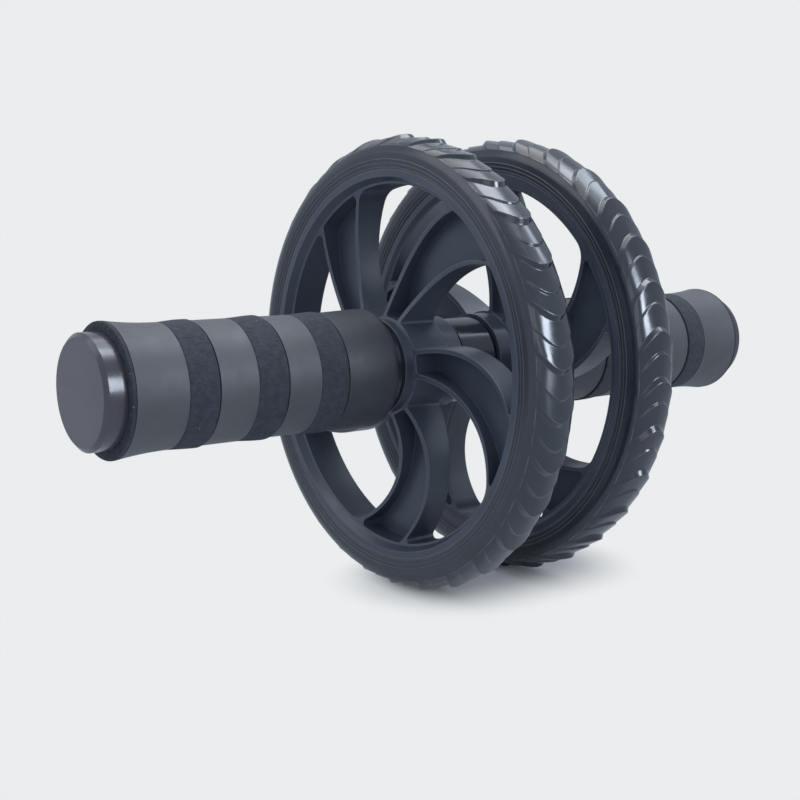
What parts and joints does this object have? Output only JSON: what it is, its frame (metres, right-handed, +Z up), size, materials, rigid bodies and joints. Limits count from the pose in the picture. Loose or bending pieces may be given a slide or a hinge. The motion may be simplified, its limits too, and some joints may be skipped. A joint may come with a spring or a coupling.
{
  "type": "ab wheel roller",
  "caption": "Ab roller with treaded wheels on swirled spokes, turning freely on an axle between banded foam grips.",
  "frame": {"origin": "on the axle, midway between the two wheels", "axes": "+Y along the axle towards the right handle, +Z up, +X along the floor in the rolling direction"},
  "size_m": [0.1784, 0.3234, 0.1784],
  "materials": {
    "steel": "zinc plated",
    "black_plastic": "satin",
    "wheel_plastic": "satin",
    "tyre_rubber": "glossy moulded",
    "bush_nylon": "black",
    "grey_grip": "smooth satin",
    "dark_foam": "closed-cell foam",
    "cap_plastic": "glossy"
  },
  "bodies": {
    "axle_and_handles": {"axle": "steel", "centre_spacer": "black_plastic", "left_handle_core": "black_plastic", "left_axle_washer": "steel", "left_lock_nut": "steel", "left_grip_ring_1": "grey_grip", "left_foam_ring_1": "dark_foam", "left_grip_ring_2": "grey_grip", "left_foam_ring_2": "dark_foam", "left_grip_ring_3": "grey_grip", "left_foam_ring_3": "dark_foam", "left_grip_ring_4": "grey_grip", "left_foam_collar": "dark_foam", "left_end_cap": "cap_plastic", "right_handle_core": "black_plastic", "right_axle_washer": "steel", "right_lock_nut": "steel", "right_grip_ring_1": "grey_grip", "right_foam_ring_1": "dark_foam", "right_grip_ring_2": "grey_grip", "right_foam_ring_2": "dark_foam", "right_grip_ring_3": "grey_grip", "right_foam_ring_3": "dark_foam", "right_grip_ring_4": "grey_grip", "right_foam_collar": "dark_foam", "right_end_cap": "cap_plastic"},
    "left_wheel": {"left_wheel_core": "wheel_plastic", "left_tyre": "tyre_rubber", "left_inner_bush": "bush_nylon", "left_outer_bush": "bush_nylon"},
    "right_wheel": {"right_wheel_core": "wheel_plastic", "right_tyre": "tyre_rubber", "right_inner_bush": "bush_nylon", "right_outer_bush": "bush_nylon"}
  },
  "joints": [
    {"name": "left_wheel_spin", "type": "hinge", "parent": "axle_and_handles", "child": "left_wheel", "pos_m": [0, -0.02585, 0], "axis": [0, 1, 0], "continuous": true},
    {"name": "right_wheel_spin", "type": "hinge", "parent": "axle_and_handles", "child": "right_wheel", "pos_m": [0, 0.02585, 0], "axis": [0, 1, 0], "continuous": true}
  ]
}
